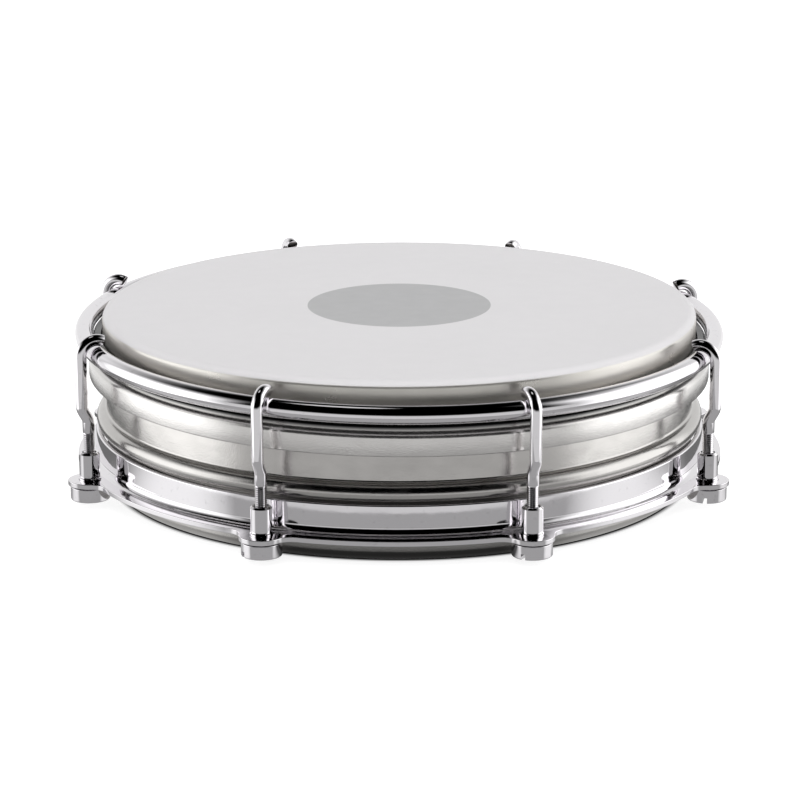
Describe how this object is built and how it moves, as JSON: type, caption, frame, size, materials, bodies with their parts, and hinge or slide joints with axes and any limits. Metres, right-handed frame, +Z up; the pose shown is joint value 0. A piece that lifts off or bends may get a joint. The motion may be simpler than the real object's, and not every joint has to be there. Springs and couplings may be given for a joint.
{
  "type": "frame drum",
  "caption": "Shallow round hand drum with one head on a metal shell, tuned from below by slotted nuts that draw bent hooks down over a round counter hoop.",
  "frame": {"origin": "centre of the flat bottom rim that the drum stands on", "axes": "+Z up along the drum's axis to the head, -Y towards the front, lugs half a step either side of each axis"},
  "size_m": [0.1674, 0.1674, 0.0459],
  "materials": {
    "shell": "satin",
    "film": "coated white film with a plain grey spot",
    "flesh_hoop": "fine bead-blasted satin",
    "counter_hoop": "polished",
    "tension_ring": "polished",
    "hook": "polished",
    "nut": "polished"
  },
  "bodies": {
    "shell": {"shell": "shell", "head_film": "film", "tension_ring": "tension_ring"},
    "hoop": {"counter_hoop": "counter_hoop", "flesh_hoop": "flesh_hoop"},
    "hook_1": {"hook_1": "hook"},
    "hook_2": {"hook_2": "hook"},
    "hook_3": {"hook_3": "hook"},
    "hook_4": {"hook_4": "hook"},
    "hook_5": {"hook_5": "hook"},
    "hook_6": {"hook_6": "hook"},
    "hook_7": {"hook_7": "hook"},
    "hook_8": {"hook_8": "hook"},
    "tension_nut_1": {"tension_nut_1": "nut"},
    "tension_nut_2": {"tension_nut_2": "nut"},
    "tension_nut_3": {"tension_nut_3": "nut"},
    "tension_nut_4": {"tension_nut_4": "nut"},
    "tension_nut_5": {"tension_nut_5": "nut"},
    "tension_nut_6": {"tension_nut_6": "nut"},
    "tension_nut_7": {"tension_nut_7": "nut"},
    "tension_nut_8": {"tension_nut_8": "nut"}
  },
  "joints": [
    {"name": "hoop_tension", "type": "slide", "parent": "shell", "child": "hoop", "axis": [0, 0, 1], "range_m": [-0.0012, 0], "stiffness_N_per_m": 12000, "springref_m": 0.0004},
    {"name": "hook_lift_1", "type": "slide", "parent": "hoop", "child": "hook_1", "axis": [0, 0, 1], "range_m": [0, 0.004]},
    {"name": "hook_lift_2", "type": "slide", "parent": "hoop", "child": "hook_2", "axis": [0, 0, 1], "range_m": [0, 0.004]},
    {"name": "hook_lift_3", "type": "slide", "parent": "hoop", "child": "hook_3", "axis": [0, 0, 1], "range_m": [0, 0.004]},
    {"name": "hook_lift_4", "type": "slide", "parent": "hoop", "child": "hook_4", "axis": [0, 0, 1], "range_m": [0, 0.004]},
    {"name": "hook_lift_5", "type": "slide", "parent": "hoop", "child": "hook_5", "axis": [0, 0, 1], "range_m": [0, 0.004]},
    {"name": "hook_lift_6", "type": "slide", "parent": "hoop", "child": "hook_6", "axis": [0, 0, 1], "range_m": [0, 0.004]},
    {"name": "hook_lift_7", "type": "slide", "parent": "hoop", "child": "hook_7", "axis": [0, 0, 1], "range_m": [0, 0.004]},
    {"name": "hook_lift_8", "type": "slide", "parent": "hoop", "child": "hook_8", "axis": [0, 0, 1], "range_m": [0, 0.004]},
    {"name": "nut_turn_1", "type": "hinge", "parent": "shell", "child": "tension_nut_1", "pos_m": [0.07779, 0.03222, 0.006], "axis": [0, 0, 1], "range_deg": [-2880.1, 0]},
    {"name": "nut_turn_2", "type": "hinge", "parent": "shell", "child": "tension_nut_2", "pos_m": [0.03222, 0.07779, 0.006], "axis": [0, 0, 1], "range_deg": [-2880.1, 0]},
    {"name": "nut_turn_3", "type": "hinge", "parent": "shell", "child": "tension_nut_3", "pos_m": [-0.03222, 0.07779, 0.006], "axis": [0, 0, 1], "range_deg": [-2880.1, 0]},
    {"name": "nut_turn_4", "type": "hinge", "parent": "shell", "child": "tension_nut_4", "pos_m": [-0.07779, 0.03222, 0.006], "axis": [0, 0, 1], "range_deg": [-2880.1, 0]},
    {"name": "nut_turn_5", "type": "hinge", "parent": "shell", "child": "tension_nut_5", "pos_m": [-0.07779, -0.03222, 0.006], "axis": [0, 0, 1], "range_deg": [-2880.1, 0]},
    {"name": "nut_turn_6", "type": "hinge", "parent": "shell", "child": "tension_nut_6", "pos_m": [-0.03222, -0.07779, 0.006], "axis": [0, 0, 1], "range_deg": [-2880.1, 0]},
    {"name": "nut_turn_7", "type": "hinge", "parent": "shell", "child": "tension_nut_7", "pos_m": [0.03222, -0.07779, 0.006], "axis": [0, 0, 1], "range_deg": [-2880.1, 0]},
    {"name": "nut_turn_8", "type": "hinge", "parent": "shell", "child": "tension_nut_8", "pos_m": [0.07779, -0.03222, 0.006], "axis": [0, 0, 1], "range_deg": [-2880.1, 0]}
  ],
  "couplings": [
    {"joint": "nut_turn_1", "follows": "hook_lift_1", "rad_per_m": -12566},
    {"joint": "nut_turn_2", "follows": "hook_lift_2", "rad_per_m": -12566},
    {"joint": "nut_turn_3", "follows": "hook_lift_3", "rad_per_m": -12566},
    {"joint": "nut_turn_4", "follows": "hook_lift_4", "rad_per_m": -12566},
    {"joint": "nut_turn_5", "follows": "hook_lift_5", "rad_per_m": -12566},
    {"joint": "nut_turn_6", "follows": "hook_lift_6", "rad_per_m": -12566},
    {"joint": "nut_turn_7", "follows": "hook_lift_7", "rad_per_m": -12566},
    {"joint": "nut_turn_8", "follows": "hook_lift_8", "rad_per_m": -12566}
  ]
}
